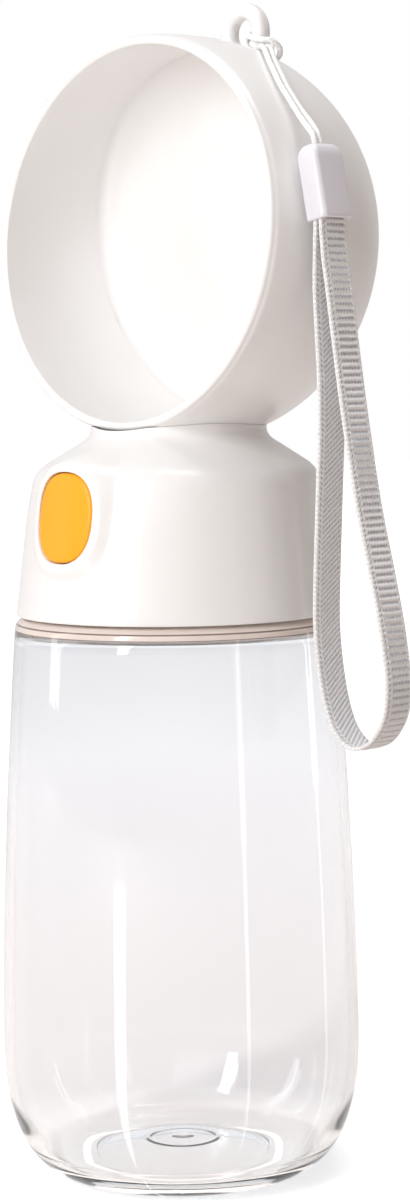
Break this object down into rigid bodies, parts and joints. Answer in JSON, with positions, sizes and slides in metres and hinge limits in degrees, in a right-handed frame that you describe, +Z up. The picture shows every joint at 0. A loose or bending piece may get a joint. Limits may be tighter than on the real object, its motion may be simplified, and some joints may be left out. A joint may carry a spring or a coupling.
{
  "type": "dog travel water bottle",
  "caption": "Clear travel water bottle with a screw-on drinking bowl head, push button valve and wrist lanyard, for giving a dog water on a walk.",
  "frame": {"origin": "Centre of the foot that the bottle stands on.", "axes": "+Z is up along the bottle's axis, -Y is the front that the bowl opens to and the button faces, +X is the side that the lanyard hangs on."},
  "size_m": [0.1004, 0.072, 0.2346],
  "materials": {
    "clear_plastic": "clear moulded",
    "white_plastic": "satin gloss",
    "white_inner": "moulded",
    "yellow_plastic": "satin gloss",
    "silicone": "translucent",
    "black_rubber": "moulded",
    "steel": "bright",
    "white_cord": "braided",
    "grey_webbing": "ribbed weave"
  },
  "bodies": {
    "bottle": {"bottle": "clear_plastic"},
    "seal_ring": {"neck_gasket": "silicone"},
    "head": {"head_shell": "white_plastic", "inner_cap": "white_inner", "bowl_shell": "white_plastic", "bowl_floor": "white_plastic", "valve_body": "white_inner", "valve_gasket": "silicone", "valve_screws": "steel", "gland_cap": "white_inner", "rod_seal": "black_rubber", "valve_plug": "white_inner", "plug_seal": "black_rubber", "outlet_tube": "silicone", "spout_seal": "silicone", "vent_valve": "silicone"},
    "button": {"button": "yellow_plastic", "push_rod": "steel", "valve_disc": "white_inner", "disc_seal": "black_rubber", "rod_clip": "steel", "valve_spring": "steel"},
    "lanyard": {"lanyard_cord": "white_cord", "lanyard_ferrule": "white_plastic", "ferrule_plug": "white_inner", "lanyard_webbing": "grey_webbing"}
  },
  "joints": [
    {"name": "head_lift", "type": "slide", "parent": "bottle", "child": "seal_ring", "axis": [0, 0, 1], "range_m": [0, 0.0045]},
    {"name": "head_turn", "type": "hinge", "parent": "seal_ring", "child": "head", "pos_m": [0, 0, 0.122], "axis": [0, 0, 1], "range_deg": [0, 540]},
    {"name": "button_press", "type": "slide", "parent": "head", "child": "button", "axis": [0, 1, 0], "range_m": [0, 0.0025], "stiffness_N_per_m": 900, "springref_m": -0.002, "deforming": ["valve_spring"]},
    {"name": "lanyard_swing", "type": "hinge", "parent": "head", "child": "lanyard", "pos_m": [0, 0.022, 0.2286], "axis": [0, -1, 0], "range_deg": [0, 150]}
  ],
  "couplings": [
    {"joint": "head_lift", "follows": "head_turn", "m_per_rad": 0.00047746}
  ]
}
